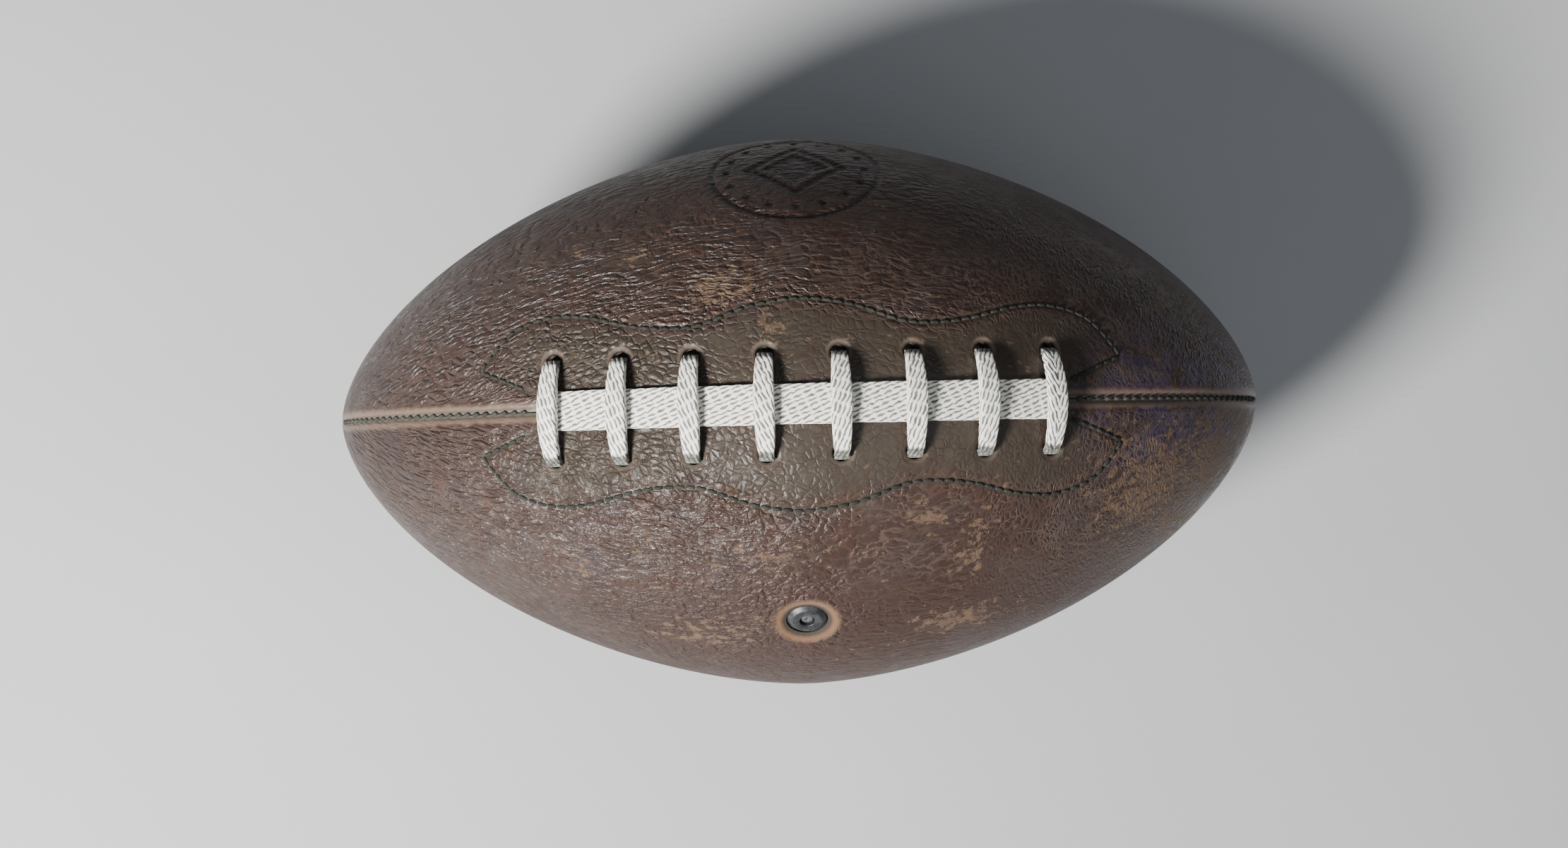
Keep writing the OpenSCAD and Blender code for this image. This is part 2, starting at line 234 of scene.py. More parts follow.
def lathe(name, profile, matrix, segments):
    """A closed ring turned from a profile of (radius, height)."""
    profile = np.array(profile) * MM
    angles = np.arange(segments) * 2 * math.pi / segments
    ring = np.stack([np.outer(np.cos(angles), profile[:, 0]), np.outer(np.sin(angles), profile[:, 0]),
                     np.broadcast_to(profile[:, 1], (segments, len(profile)))], axis=-1).reshape(-1, 3)
    n = len(profile)
    faces = [(i * n + j, ((i + 1) % segments) * n + j, ((i + 1) % segments) * n + (j + 1) % n, i * n + (j + 1) % n)
             for i in range(segments) for j in range(n)]
    spin = np.array(matrix)
    return mesh_object(name, ring @ spin[:3, :3].T + spin[:3, 3], faces)


def rounded(profile, radius, steps):
    """The closed profile with each corner rounded."""
    out = []
    for before, at, after in zip(profile[-1:] + profile[:-1], profile, profile[1:] + profile[:1]):
        at = np.array(at, float)
        a, b = np.array(before) - at, np.array(after) - at
        cut = min(radius, 0.45 * np.linalg.norm(a), 0.45 * np.linalg.norm(b))
        a, b = a / np.linalg.norm(a) * cut, b / np.linalg.norm(b) * cut
        out += [tuple(at + a * (1 - t) ** 2 + b * t ** 2) for t in np.linspace(0, 1, steps)]
    return out


def join(name, parts):
    """One object from several meshes, given as (points, faces)."""
    points, faces, count = [], [], 0
    for p, f in parts:
        points.append(p)
        faces += [tuple(i + count for i in face) for face in f]
        count += len(p)
    return mesh_object(name, np.concatenate(points), faces)


def wear(obj, material):
    obj.data.materials.clear()
    obj.data.materials.append(material)


def finish_piece(obj, material, node):
    """The piece takes its material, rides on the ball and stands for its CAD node."""
    wear(obj, material)
    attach(obj, "root")
    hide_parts(node)


# ---- material tools

class Nodes:
    """A material's node tree, built by calls that return sockets."""

    def __init__(self, name):
        self.material = bpy.data.materials.new(name)
        self.material.use_nodes = True
        self.tree = self.material.node_tree
        self.tree.nodes.clear()

    def add(self, kind, inputs, out=0, **settings):
        node = self.tree.nodes.new(kind)
        for key, value in settings.items():
            setattr(node, key, value)
        for key, value in inputs.items():
            if isinstance(value, bpy.types.NodeSocket):
                self.tree.links.new(value, node.inputs[key])
            else:
                node.inputs[key].default_value = value
        return node.outputs[out] if node.outputs else None

    def value(self, name):
        return self.add("ShaderNodeAttribute", {}, out="Fac", attribute_name=name)

    def vector(self, name):
        return self.add("ShaderNodeAttribute", {}, out="Vector", attribute_name=name)

    def place(self):
        """The point on the object, in metres."""
        return self.add("ShaderNodeTexCoord", {}, out="Object")

    def math(self, operation, a, b=0.0, clamp=False):
        return self.add("ShaderNodeMath", {0: a, 1: b}, operation=operation, use_clamp=clamp)

    def chain(self, operation, values):
        total = values[0]
        for value in values[1:]:
            total = self.math(operation, total, value)
        return total

    def times(self, *factors):
        return self.chain("MULTIPLY", factors)

    def plus(self, *terms):
        return self.chain("ADD", terms)

    def most(self, *values):
        return self.chain("MAXIMUM", values)

    def less(self, value):
        """1 - value."""
        return self.math("SUBTRACT", 1.0, value)

    def step(self, value, low, high, start=0.0, end=1.0):
        """start below low, end above high, and smooth between."""
        return self.add("ShaderNodeMapRange", {"Value": value, "From Min": low, "From Max": high,
                                               "To Min": start, "To Max": end}, interpolation_type="SMOOTHSTEP")

    def fall(self, value, low, high):
        """1 below low, 0 above high, and smooth between."""
        return self.step(value, low, high, 1.0, 0.0)

    def band(self, value, low, middle, high):
        """1 at middle, falling to 0 at low and high."""
        return self.times(self.step(value, low, middle), self.fall(value, middle, high))

    def stretch(self, vector, x, y, z=1.0):
        return self.add("ShaderNodeVectorMath", {0: vector, 1: (x, y, z)}, operation="MULTIPLY")

    def shift(self, vector, by):
        return self.add("ShaderNodeVectorMath", {0: vector, 1: by}, operation="ADD")

    def wander(self, vector, scale, amount, detail=2.0):
        """The vector, bent by a smooth noise."""
        noise = self.add("ShaderNodeTexNoise", {"Vector": vector, "Scale": scale, "Detail": detail}, out="Color")
        centred = self.add("ShaderNodeVectorMath", {0: noise, 1: (0.5, 0.5, 0.5)}, operation="SUBTRACT")
        scaled = self.add("ShaderNodeVectorMath", {0: centred, "Scale": amount}, operation="SCALE")
        return self.add("ShaderNodeVectorMath", {0: vector, 1: scaled}, operation="ADD")

    def noise(self, vector, scale, detail=2.0, roughness=0.5):
        return self.add("ShaderNodeTexNoise", {"Vector": vector, "Scale": scale, "Detail": detail,
                                               "Roughness": roughness}, out="Fac")

    def absolute(self, value):
        return self.math("ABSOLUTE", value)

    def edges(self, vector):
        """Distance to the nearest edge between cells."""
        return self.add("ShaderNodeTexVoronoi", {"Vector": vector, "Scale": 1.0, "Randomness": 1.0},
                        out="Distance", feature="DISTANCE_TO_EDGE")

    def cells(self, vector, length, width):
        """Distance to the nearest edge between cells of about this length and width."""
        return self.edges(self.stretch(vector, 1 / length, 1 / width, 0.1))

    def mix(self, factor, a, b):
        return self.add("ShaderNodeMix", {0: factor, 2: a, 3: b}, data_type="FLOAT")

    def tint(self, factor, a, b):
        a, b = (c + (1.0,) if isinstance(c, tuple) else c for c in (a, b))
        return self.add("ShaderNodeMix", {0: factor, 6: a, 7: b}, out=2, data_type="RGBA")

    def paint(self, colour, *layers):
        """The colour under layers of (where it shows, colour), laid on in turn."""
        for mask, tone in layers:
            colour = self.tint(mask, colour, tone)
        return colour

    def bump(self, height):
        """A normal from a height in metres."""
        return self.add("ShaderNodeBump", {"Height": height, "Strength": 1.0, "Distance": 1.0})

    def surface(self, colour, roughness, height, specular=0.5, **inputs):
        """Ends the tree in one surface shader and returns the material. Other inputs have the shader's own names,
        with _ for a space."""
        named = {key.replace("_", " "): value for key, value in inputs.items()}
        named.update({"Base Color": colour, "Roughness": roughness, "Specular IOR Level": specular,
                      "Normal": self.bump(height)})
        shader = self.add("ShaderNodeBsdfPrincipled", named)
        self.add("ShaderNodeOutputMaterial", {"Surface": shader})
        return self.material


# ---- camera, light and floor

def aim(obj, place, target, up):
    """Puts a camera or a light at a place, looking at a target."""
    back = (Vector(place) - Vector(target)).normalized()
    right = Vector(up).cross(back).normalized()
    turn = Matrix((right, back.cross(right), back)).transposed()
    obj.matrix_world = Matrix.Translation(place) @ turn.to_4x4()


CAMERA_LENS = 49.2
CAMERA_SENSOR = 36
CAMERA_AWAY = 0.670
CAMERA_DIRECTION = Vector((-0.0119, -0.0244, 0.9996))
CAMERA_RIGHT = Vector((0.99966, -0.0260, 0.0))
CAMERA_UP = Vector((0.0260, 0.99966, 0.0))
FLOOR_GAP = 0.25 * MM
FLOOR_R = 6.0


def make_camera():
    """A camera almost straight above the lacing."""
    data = bpy.data.cameras.new("camera")
    data.sensor_width = CAMERA_SENSOR
    data.lens = CAMERA_LENS
    data.clip_start, data.clip_end = 0.01, 50
    camera = new_object("camera", data)
    target = CAMERA_RIGHT * -0.0048 - CAMERA_UP * 0.0040
    aim(camera, CAMERA_DIRECTION * CAMERA_AWAY, target, CAMERA_UP)
    bpy.context.scene.camera = camera


def area_light(name, direction, distance, size, power, colour):
    data = bpy.data.lights.new(name, "AREA")
    data.shape, data.size = "DISK", size
    data.energy = power
    data.color = colour
    aim(new_object(name, data), Vector(direction).normalized() * distance, (0, 0, 0), (0, 1, 0.01))


def make_floor():
    """A large pale floor with a soft, faintly mottled finish, under the ball's lowest point."""
    bm = bmesh.new()
    bmesh.ops.create_circle(bm, cap_ends=True, cap_tris=True, segments=96, radius=FLOOR_R)
    bmesh.ops.translate(bm, verts=bm.verts, vec=(0, 0, -HALF_WIDTH - FLOOR_GAP))
    floor = new_object("floor", mesh_of("floor", bm))
    n = Nodes("floor_paper")
    mottle = n.noise(n.place(), 9.0, 4.0)
    colour = n.tint(mottle, (0.40, 0.41, 0.42), (0.45, 0.455, 0.46))
    grit = n.times(n.noise(n.place(), 900.0), 0.00004)
    wear(floor, n.surface(colour, 0.85, grit))


def make_light():
    """A soft key over the left shoulder, a wide weak fill and a dim even surround."""
    world = bpy.data.worlds.new("studio")
    bpy.context.scene.world = world
    world.use_nodes = True
    background = world.node_tree.nodes["Background"]
    background.inputs["Color"].default_value = (0.80, 0.86, 0.95, 1)
    background.inputs["Strength"].default_value = 0.15
    area_light("key", (-0.58, -0.45, 0.69), distance=1.10, size=0.30, power=40.0, colour=(1.0, 0.98, 0.95))
    area_light("fill", (0.40, -0.24, 1.0), distance=1.30, size=1.20, power=3.7, colour=(0.93, 0.96, 1.0))


# ---- leather panels

# The rolled edge beside a seam, as (distance from the seam, height above the leather)
LIP = [(0.15, -4.8), (0.15, -3.0), (0.15, -0.74), (0.36, -0.71), (0.62, -0.65), (0.88, -0.55), (1.12, -0.42),
       (1.38, -0.27), (1.68, -0.12), (2.02, -0.01), (2.45, 0.06), (2.95, 0.08), (3.60, 0.06), (4.40, 0.03),
       (5.40, 0.0)]
COLUMNS = 500
ROWS_TO_MIDDLE = 64
ROWS_INSIDE = 8
TIP_GAP = 0.35 * MM
OUTER_SKIN = -0.5 * MM  # points of a panel's outline above this height are on its outer skin

# Hollows pressed into the leather, as (depth, distance to the edge of the bottom, distance to the brink), and
# swellings beside them, as (height, distance to the crest, width of the slope)
RIM = (0.55 * MM, 2.3 * MM, 3.8 * MM)
GROOVE, GROOVE_SWELL = (0.24 * MM, 0.30 * MM, 0.85 * MM), (0.03 * MM, 1.9 * MM, 0.6 * MM)
DIMPLE, DIMPLE_SWELL = (1.35 * MM, 4.6 * MM, 9.1 * MM), (0.12 * MM, 9.6 * MM, 1.0 * MM)
STITCH_REACH = 20 * MM
FAR_AWAY = 1.0


def hole_places(side):
    away = LACE_HOLE_AWAY[side]
    return [(lace_x(i), side * away / float(radius_at(lace_x(i)))) for i in range(1, LACES + 1)]


def nearest(points, places):
    """Distance from each point to the nearest of some places."""
    best = np.full(len(points), FAR_AWAY)
    for place in places:
        np.minimum(best, np.linalg.norm(points - place, axis=1), out=best)
    return best


def distance_to_path(points, path, reach):
    """Distance from each point to a path, up to a reach."""
    best = np.full(len(points), reach)
    lo, hi = path.min(axis=0) - reach, path.max(axis=0) + reach
    near = np.nonzero(np.all((points > lo) & (points < hi), axis=1))[0]
    for start in range(0, len(near), 4000):
        part = near[start:start + 4000]
        gaps = np.linalg.norm(points[part, None, :] - path[None, :, :], axis=2).min(axis=1)
        best[part] = np.minimum(best[part], gaps)
    return best


def medallion_map(points):
    """How deep the medallion's lines are pressed at each point, from 0 to 1, and its distance from their middle."""
    inverse = np.array(seat(0, MEDALLION_TURN).inverted())
    local = points @ inverse[:3, :3].T + inverse[:3, 3]
    u, v = local[:, 0], local[:, 1]
    away = np.where(local[:, 2] > -20 * MM, np.hypot(u, v), FAR_AWAY)
    on_it = away < MEDALLION_R
    soft = 0.35 * MM

    def line(distance, half_width):
        return 1 - smooth_step(np.abs(distance), half_width - soft, half_width + soft)

    pressed = line(away - MEDALLION_R + 0.7 * MM, 0.7 * MM)
    diamond = (np.abs(u) + np.abs(v)) / math.sqrt(2)
    inner = MEDALLION_R * 0.6 / math.sqrt(2)
    marks = [line(diamond - inner + 1.0 * MM, 1.0 * MM), line(diamond, inner - 4.0 * MM)]
    for i in range(MEDALLION_DOTS):
        a = i * 2 * math.pi / MEDALLION_DOTS
        dot = np.hypot(u - 0.8 * MEDALLION_R * math.cos(a), v - 0.8 * MEDALLION_R * math.sin(a))
        marks.append(line(dot, 1.1 * MM))
    for mark in marks:
        pressed = np.maximum(pressed, np.where(on_it, mark, 0))
    return pressed, away


def hollow(distance, depth, bottom, brink):
    return depth * (smooth_step(distance, bottom, brink) - 1)


def swelling(distance, height, crest, slope):
    return height * np.exp(-((distance - crest) / slope) ** 2)


def panel_relief(points, side):
    """Height of the large marks of a laced panel at points on it: hole rims, stitch grooves, and the valve's
    dimple or the medallion."""
    height = hollow(nearest(points, [on_leather(*place) for place in hole_places(side)]), *RIM)
    gap = distance_to_path(points, on_leather(*facing_path(side)), 4 * MM)
    height += hollow(gap, *GROOVE) + swelling(gap, *GROOVE_SWELL)
    if side > 0:
        return height - MEDALLION_DEPTH * medallion_map(points)[0]
    gap = nearest(points, [on_leather(0, VALVE_TURN)])
    return height + hollow(gap, *DIMPLE) + swelling(gap, *DIMPLE_SWELL)


def mirrored(rows, total):
    """The rows from a panel's first seam to its middle, followed by the same rows from there to its last seam."""
    return np.array(rows + [total - row for row in rows[-2::-1]])


def panel_shape(name, first, side):
    """A panel from the seam at the angle first to the next seam, with turned-in edges. It is one closed skin."""
    x = along(np.linspace(-ARC_TO_TIP + TIP_GAP, ARC_TO_TIP - TIP_GAP, COLUMNS))
    radius = radius_at(x)
    half = radius * math.pi / 4
    shrink = np.minimum(1, half / SEAM_SHRINK)

    # outer skin: distance across from the first seam, and height
    lip = np.array(LIP) * MM
    across, lift = [w * shrink for w in lip[:, 0]], [h * shrink for h in lip[:, 1]]
    start = lip[-1, 0] * shrink
    for i in range(1, ROWS_TO_MIDDLE + 1):
        across.append(start + (half - start) * i / ROWS_TO_MIDDLE)
        lift.append(np.zeros(COLUMNS))
    outer_rows = 2 * len(across) - 1
    across, lift = mirrored(across, 2 * half), np.array(lift + lift[-2::-1])

    # inner skin, back to the first seam
    start = EDGE_TURN_IN * shrink
    inner_across, inner_lift = [start, start], [-EDGE_DEPTH * shrink, -LEATHER * shrink]
    for i in range(1, ROWS_INSIDE + 1):
        inner_across.append(start + (half - start) * i / ROWS_INSIDE)
        inner_lift.append(-LEATHER * shrink)
    across = np.concatenate([across, mirrored(inner_across, 2 * half)[::-1]])
    lift = np.concatenate([lift, np.array(inner_lift + inner_lift[-2::-1])]).T

    turn = (math.radians(first) + across / radius).T
    if side:
        skin = (lift > OUTER_SKIN) & (np.arange(lift.shape[1]) < outer_rows)
        lift[skin] += panel_relief(on_leather(x[:, None], turn)[skin], side)
    return tube(name, on_leather(x[:, None], turn, lift))


def cut(obj, places):
    """Cuts round holes of (matrix, radius) through a panel."""
    bm = bmesh.new()
    for matrix, radius in places:
        bmesh.ops.create_cone(bm, cap_ends=True, cap_tris=True, segments=64, radius1=radius, radius2=radius,
                              depth=14 * MM, matrix=matrix)
    mesh = mesh_of("cutter", bm)
    cutter = new_object("cutter", mesh)
    modifier = obj.modifiers.new("holes", "BOOLEAN")
    modifier.operation, modifier.object, modifier.solver = "DIFFERENCE", cutter, "MANIFOLD"
    drilled = bpy.data.meshes.new_from_object(obj.evaluated_get(bpy.context.evaluated_depsgraph_get()))
    obj.modifiers.clear()
    old, obj.data = obj.data, drilled
    obj.data.name = obj.name
    bpy.data.meshes.remove(old)
    bpy.data.objects.remove(cutter)
    bpy.data.meshes.remove(mesh)


# Worn patches as (distance along from the middle, distance across from the lacing, length, width, strength).
# Across is positive towards the medallion.
SCUFFS = [(-23, 34, 12, 7, 0.85), (-8, 20, 6, 8, 0.7), (-47, 45, 6, 5, 0.6), (-62, 50, 5, 4, 0.5),
          (47, -42, 9, 16, 0.55), (46, -72, 17, 6, 0.8), (104, -24, 25, 20, 0.86), (122, -20, 15, 18, 1.0),
          (132, -6, 10, 9, 1.0), (112, -44, 14, 12, 0.8), (-30, -76, 16, 8, 0.75), (-66, -46, 5, 8, 0.7),
          (-12, -44, 8, 6, 0.55), (-24, -47, 6, 3, 0.5), (88, 46, 5, 4, 0.8), (105, 28, 5, 4, 0.8),
          (30, 62, 10, 5, 0.4), (35, -33, 7, 5, 0.8), (-95, -30, 8, 5, 0.4), (60, 10, 7, 5, 0.35)]
PALE_PATCHES = [(-50, 45, 9, 5, 1), (71, 44, 9, 6, 1), (-82, -60, 20, 7, 1), (12, 36, 8, 6, 1), (60, -52, 12, 9, 1),
                (20, -58, 14, 8, 1)]


def patches(along_mm, across_mm, places):
    """Strength of the strongest soft patch at each point."""
    best = np.zeros(len(along_mm))
    for a, b, length, width, strength in places:
        here = strength * np.exp(-((along_mm - a) / length) ** 2 - ((across_mm - b) / width) ** 2)
        best = np.maximum(best, here)
    return best


def inside_facing(along_mm, across_mm, side):
    """Whether each point is inside the stitched outline of a facing."""
    away = np.abs(along_mm)
    (start, start_across), (tip, tip_across) = FACING_HALF[:2]
    outline = np.array(FACING_HALF[:1:-1], float)
    upper = np.interp(away, outline[:, 0], outline[:, 1], right=-1)
    lower = np.where(away < start, 0, np.interp(away, [start, tip], [start_across, tip_across]))
    return (side * across_mm > lower) & (side * across_mm < upper) & (away < tip)


def leather_values(obj, first, side):
    """Stores on each vertex where it lies on the ball, for the leather's material. Distances are in millimetres."""
    points = points_of(obj)
    x, turn = points[:, 0], np.arctan2(points[:, 1], points[:, 2])
    count = len(x)
    radius = np.maximum(radius_at(x), 0.3 * MM)
    from_middle = (turn - math.radians(first + 45) + math.pi) % (2 * math.pi) - math.pi
    grain = np.stack([arc_of(points), from_middle * np.sqrt(radius * HALF_WIDTH), np.full(count, (first + 200) * MM)],
                     axis=-1)
    seam = (math.pi / 4 - np.abs(from_middle)) * radius
    seam = seam / np.minimum(1, radius * math.pi / 4 / SEAM_SHRINK)
    across_mm, along_mm = turn * radius / MM, x / MM
    stitch = facing = np.full(count, STITCH_REACH)
    hole = valve = medal = np.full(count, FAR_AWAY)
    pressed = np.zeros(count)
    if side:
        stitch = distance_to_path(points, on_leather(*facing_path(side)), STITCH_REACH)
        facing = np.where(inside_facing(along_mm, across_mm, side), -stitch, stitch)
        hole = nearest(points, [on_leather(*place) for place in hole_places(side)])
    if side < 0:
        valve = nearest(points, [on_leather(0, VALVE_TURN)])
    if side > 0:
        pressed, medal = medallion_map(points)
    depth = radius_at(x) - np.hypot(points[:, 1], points[:, 2])
    set_values(obj, grain=grain / MM, seam=seam / MM, stitch=stitch / MM, facing=facing / MM, hole=hole / MM,
               valve=valve / MM, medal=medal / MM, pressed=pressed, depth=depth / MM,
               scuff=patches(along_mm, across_mm, SCUFFS), pale=patches(along_mm, across_mm, PALE_PATCHES),
               spot=np.stack([along_mm, across_mm, np.zeros(count)], axis=-1))


def leather_material():
    n = Nodes("worn_leather")
    grain, spot = n.vector("grain"), n.vector("spot")
    seam, stitch, facing = n.value("seam"), n.value("stitch"), n.value("facing")
    hole, valve, medal, pressed = n.value("hole"), n.value("valve"), n.value("medal"), n.value("pressed")
    xyz = n.tree.nodes.new("ShaderNodeSeparateXYZ")
    n.tree.links.new(spot, xyz.inputs[0])
    x, across = xyz.outputs[0], xyz.outputs[1]
    side_on = n.absolute(across)
    inside = n.times(n.fall(facing, -6.0, 0.5), n.fall(n.absolute(x), 70.0, 92.0))
    bent = n.wander(n.wander(grain, 0.04, 9.0), 0.30, 1.5)

    def patchy(offset, scale, low, high, detail=3.0, roughness=0.5):
        """Soft patches from a noise of its own."""
        return n.step(n.noise(n.shift(grain, offset), scale, detail, roughness), low, high)

    # where the skin is smooth: beside seams, holes and the valve, and on rubbed patches
    pale = n.step(n.plus(n.value("pale"), n.times(n.noise(bent, 0.22, 5.0, 0.65), 1.3)), 1.12, 1.26)
    rubbed = n.most(n.times(patchy((37, 11, 5), 0.075, 0.58, 0.68, 4.0, 0.6), 0.5), n.times(pale, 0.4))
    smooth = n.most(n.fall(seam, 2.6, 4.4), n.fall(hole, 3.2, 4.2),
                    n.fall(valve, 8.4, 10.2), rubbed, n.times(n.fall(stitch, 0.7, 1.5), 0.6))
    rough_skin = n.less(smooth)

    # creases: long ones along the ball, upright ones at the right end, and a net of small cells by the lacing
    wavy = n.wander(bent, 0.38, 1.9, 1.0)
    long_creases = n.cells(wavy, 6.4, 2.3)
    net = n.cells(n.shift(wavy, (91, 17, 0)), 2.6, 2.1)
    upright = n.cells(n.shift(wavy, (13, 71, 0)), 1.45, 2.9)
    away_from_lacing = n.times(n.step(facing, -1.0, 9.0), n.step(valve, 10.0, 26.0))
    at_ends = n.math("ADD", n.times(away_from_lacing, 0.75),
                     n.plus(n.times(n.step(n.absolute(x), 40.0, 80.0), 0.35),
                            n.times(n.math("SUBTRACT", n.noise(grain, 0.07), 0.5), 0.8)), clamp=True)
    to_right = n.step(n.plus(x, n.times(n.noise(grain, 0.05), 30.0)), 50.0, 84.0)
    edge = n.mix(to_right, n.mix(at_ends, net, long_creases), upright)
    pillow = n.step(edge, 0.0, 0.48)
    thin_line = n.fall(edge, 0.02, 0.13)
    strength = patchy((5, 51, 9), 0.11, 0.34, 0.62)
    wide_line = n.less(n.step(n.math("DIVIDE", edge, n.mix(at_ends, 0.12, 0.18)), 0.0, 1.0))
    crease = n.times(wide_line, n.plus(n.times(strength, 0.75), 0.25))
    small = n.fall(n.cells(n.wander(grain, 0.6, 0.8), 0.85, 0.7), 0.0, 0.22)
    fold_noise = n.noise(n.stretch(bent, 0.05, 0.34, 0.1), 1.0)
    fold = n.times(n.fall(n.absolute(n.math("SUBTRACT", fold_noise, 0.5)), 0.0, 0.085), n.less(to_right),
                   n.step(n.noise(grain, 0.028, 3.0), 0.36, 0.55), n.step(facing, -2.0, 3.0))
    pores = n.noise(grain, 3.6, 3.0, 0.65)

    # masks of the skin's colours, with painted shade in the creases and towards the ball's sides
    purple = n.times(n.step(x, 62.0, 100.0), n.fall(side_on, 6.0, 34.0), n.step(n.noise(grain, 0.13, 3.0), 0.35, 0.6))
    grime = n.times(inside, n.step(n.noise(grain, 0.16, 4.0, 0.6), 0.28, 0.56, 0.45, 1.0))
    dark_lines = n.most(n.times(patchy((23, 3, 41), 0.07, 0.50, 0.64), 0.55), n.times(inside, 0.9))
    # dark is painted shade: the creases darkened where dark_lines allows it, most inside the facings
    dark = n.times(n.most(crease, n.times(small, 0.2)), rough_skin, dark_lines, 0.65)
    pale_lines = n.times(thin_line, rough_skin, n.less(dark_lines), n.plus(n.times(strength, 0.6), 0.3),
                         n.step(x, -50.0, 10.0, 0.12, 0.40))
    # painted shade: the skin darkened towards the sides, far across from the lacing
    side_shade = n.times(n.step(side_on, 36.0, 72.0), n.step(n.noise(bent, 0.05, 3.0), 0.25, 0.60, 0.75, 1.0))

    # scuffs wear through to tan hide, in specks
    speck = n.noise(n.stretch(n.wander(grain, 0.5, 1.6), 0.85, 1.15), 0.30, 7.0, 0.66)
    stray = patchy((9, 77, 31), 0.045, 0.50, 0.72)
    worn = n.plus(speck, n.times(n.value("scuff"), 0.225), n.times(stray, 0.070))
    worn = n.times(n.step(worn, 0.636, 0.676), n.less(n.times(crease, 0.45)), n.step(seam, 2.2, 4.0))
    tan = n.tint(n.noise(grain, 0.5, 4.0), (0.082, 0.052, 0.034), (0.148, 0.094, 0.059))

    # tan edges, with grey-green dirt in the hollows, and darker leather on the medallion
    lip_tone = n.tint(n.noise(grain, 0.35, 3.0), (0.108, 0.071, 0.052), (0.195, 0.140, 0.106))
    ragged = n.plus(seam, n.times(n.noise(grain, 0.3, 3.0), 2.2))
    lip_edge = n.times(n.step(seam, 0.8, 1.5), n.fall(ragged, 3.0, 4.6))
    dirt = n.most(n.times(n.fall(hole, 2.5, 3.2), 0.85), n.times(n.fall(valve, 6.2, 7.4), 0.8),
                  n.times(n.fall(stitch, 0.55, 1.0), 0.75))
    colour = n.paint(
        n.tint(n.noise(bent, 0.10, 4.0, 0.6), (0.031, 0.0185, 0.0150), (0.053, 0.0335, 0.0270)),
        (n.times(patchy((3, 7, 60), 0.06, 0.50, 0.66, 3.0, 0.55), 0.60), (0.042, 0.031, 0.031)),
        (n.times(patchy((61, 7, 3), 0.09, 0.54, 0.68, 4.0, 0.6), 0.38), (0.058, 0.027, 0.017)),
        (n.times(rubbed, 0.60), (0.066, 0.052, 0.045)),
        (n.times(purple, 0.85), (0.040, 0.029, 0.058)),
        (n.times(grime, 0.75), (0.049, 0.041, 0.030)),
        # painted shade in the creases
        (dark, (0.020, 0.013, 0.010)),
        (pale_lines, (0.140, 0.098, 0.076)),
        # painted shade towards the sides
        (n.times(side_shade, 0.85), (0.034, 0.0170, 0.0122)),
        (n.times(worn, 0.92), tan),
        (n.times(lip_edge, 0.80), lip_tone),
        (n.times(n.band(hole, 2.7, 3.3, 4.3), n.step(across, -2.0, 2.0, 0.30, 0.55)), lip_tone),
        (n.times(n.band(valve, 6.4, 8.2, 10.6), 0.95), (0.150, 0.088, 0.052)),
        (n.times(n.band(stitch, 0.5, 1.3, 2.1), 0.12), (0.075, 0.058, 0.040)),
        (n.times(n.fall(seam, 0.7, 1.35), 0.9), (0.095, 0.086, 0.068)),
        (dirt, (0.036, 0.034, 0.027)),
        (n.times(n.fall(medal, 24.5, 25.5), n.plus(n.times(pressed, 0.5), 0.35)), (0.022, 0.014, 0.012)),
        (n.step(n.value("depth"), 1.6, 2.4), (0.155, 0.110, 0.075)))

    # height, in metres
    relief = n.plus(n.times(crease, -0.00012), n.times(pillow, 0.00019), n.times(small, -0.00002),
                    n.times(fold, 0.00012), n.times(pores, 0.00001))
    strong = n.plus(n.step(x, -30.0, 30.0, 2.3, 1.05), n.times(to_right, -0.25))
    strong = n.times(strong, n.less(n.times(inside, n.step(x, -60.0, -15.0, 0.10, 0.62))))
    puff = n.times(n.noise(bent, 0.20), 0.00025)
    height = n.plus(n.times(relief, strong, n.plus(n.times(rough_skin, 0.88), 0.12)),
                    n.times(puff, n.plus(n.times(rough_skin, 0.8), 0.2)),
                    n.times(pressed, -0.00018), n.times(worn, -0.00006), n.times(pores, 0.000015))
    rough = n.plus(0.21, n.times(n.noise(grain, 0.12, 3.0), 0.12), n.times(worn, 0.22), n.times(grime, 0.10),
                   n.times(dirt, 0.2), n.times(crease, 0.12), n.times(lip_edge, 0.06), n.times(side_shade, 0.20))
    return n.surface(colour, rough, height, 0.27)


# Each panel's first seam in degrees from the lacing, and which side of the lacing it is on if it is laced
PANELS = [("panel_laced_valve_side", -90, -1), ("panel_laced_medallion_side", 0, 1),
          ("panel_lower_valve_side", 180, 0), ("panel_lower_medallion_side", 90, 0)]
SHARP = math.radians(55)


def make_panels():
    leather = leather_material()
    for name, first, side in PANELS:
        obj = panel_shape("visual_" + name, first, side)
        holes = [(seat(x, turn), LACE_HOLE_R) for x, turn in hole_places(side)] if side else []
        if side < 0:
            holes.append((seat(0, VALVE_TURN), VALVE_HOLE_R))
        if holes:
            cut(obj, holes)
        leather_values(obj, first, side)
        obj.data.shade_smooth()
        obj.data.set_sharp_from_angle(angle=SHARP)
        finish_piece(obj, leather, name)


# ---- stitches

# A thread's stitches as (length, thickness, how far their ends dip into the leather, height of their middle)
SEAM_BEAD = (2.35 * MM, 1.22 * MM, 0.22 * MM, -0.46 * MM)
FACING_BEAD = (2.95 * MM, 1.12 * MM, 0.28 * MM, -0.12 * MM)
SEAM_BEAD_SLANT = 0.30
STRANDS = 3


